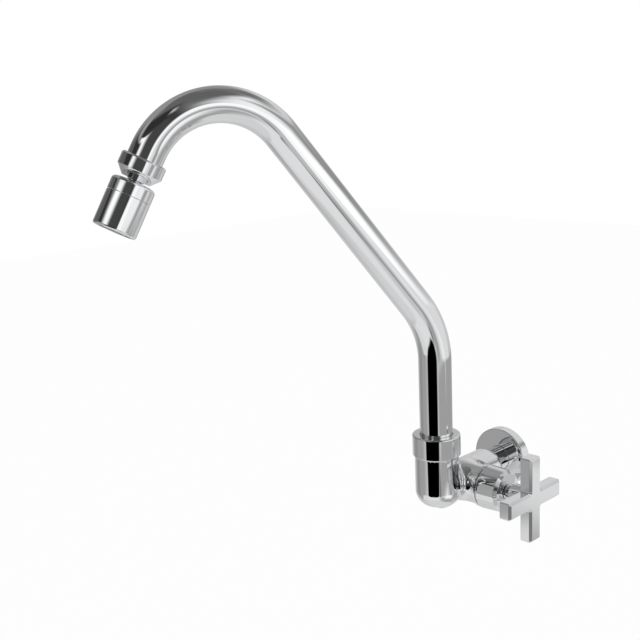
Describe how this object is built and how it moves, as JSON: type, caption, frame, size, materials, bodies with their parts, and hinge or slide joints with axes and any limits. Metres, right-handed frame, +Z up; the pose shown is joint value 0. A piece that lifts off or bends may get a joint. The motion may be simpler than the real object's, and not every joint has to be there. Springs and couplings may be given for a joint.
{
  "type": "wall faucet",
  "caption": "Wall-mounted kitchen faucet with a swivelling high bent spout, a cross handle on the side of its body and a ball-jointed aerator.",
  "frame": {"origin": "on the inlet axis at the wall plane, where the flange's back face lies", "axes": "+Y into the wall along the inlet thread, -Y out from the wall towards the user, +X to the user's right, which is the handle side, +Z up"},
  "size_m": [0.1674, 0.2896, 0.3083],
  "materials": {
    "cast_chrome": "bright polished chrome plate",
    "flange_chrome": "bright polished chrome plate",
    "nut_chrome": "bright polished chrome plate",
    "tube_chrome": "bright polished chrome plate",
    "bonnet_chrome": "bright polished chrome plate",
    "handle_chrome": "bright polished chrome plate",
    "aerator_chrome": "bright polished chrome plate",
    "ball_chrome": "bright polished chrome plate",
    "black_rubber": "matte",
    "brass": "turned",
    "ceramic": "lapped alumina",
    "white_plastic": "moulded",
    "dark_plastic": "moulded",
    "steel": "plain stainless"
  },
  "bodies": {
    "body": {"valve_body": "cast_chrome", "wall_flange": "flange_chrome", "flange_o_ring": "black_rubber", "flange_gasket": "black_rubber", "spout_nut": "nut_chrome", "seat_seal": "black_rubber", "cartridge_shell": "brass", "cartridge_o_ring": "black_rubber", "fixed_disc": "ceramic", "bonnet_cover": "bonnet_chrome"},
    "handle": {"handle_cross": "handle_chrome", "handle_grub_screw": "steel", "spindle": "brass", "spindle_o_rings": "black_rubber", "spindle_circlip": "steel", "moving_disc": "ceramic"},
    "spout": {"spout_tube": "tube_chrome", "spout_ferrule": "brass", "spout_o_rings": "black_rubber", "spout_slip_ring": "white_plastic", "spout_end_bush": "brass", "aerator_ball_nut": "aerator_chrome", "ball_o_ring": "black_rubber"},
    "ball_seat": {"ball_seat_ring": "white_plastic"},
    "aerator": {"swivel_ball": "ball_chrome", "aerator_cap": "aerator_chrome", "aerator_shell": "aerator_chrome", "aerator_gasket": "black_rubber", "aerator_insert": "dark_plastic", "aerator_screen": "dark_plastic", "aerator_mesh_discs": "steel"}
  },
  "joints": [
    {"name": "spout_swivel", "type": "hinge", "parent": "body", "child": "spout", "pos_m": [0, -0.0795, 0], "axis": [0, 0, 1], "range_deg": [-82, 138]},
    {"name": "handle_turn", "type": "hinge", "parent": "body", "child": "handle", "pos_m": [0.03, -0.0518, -0.0031], "axis": [1, 0, 0], "range_deg": [0, 90]},
    {"name": "aerator_spin", "type": "hinge", "parent": "spout", "child": "ball_seat", "pos_m": [-0.08761, -0.24427, 0.22698], "axis": [-0.2247, -0.4227, -0.878], "continuous": true},
    {"name": "aerator_tilt", "type": "hinge", "parent": "ball_seat", "child": "aerator", "pos_m": [-0.08761, -0.24427, 0.22698], "axis": [-0.4122, -0.7752, 0.4787], "range_deg": [-16.5, 3.5]}
  ]
}
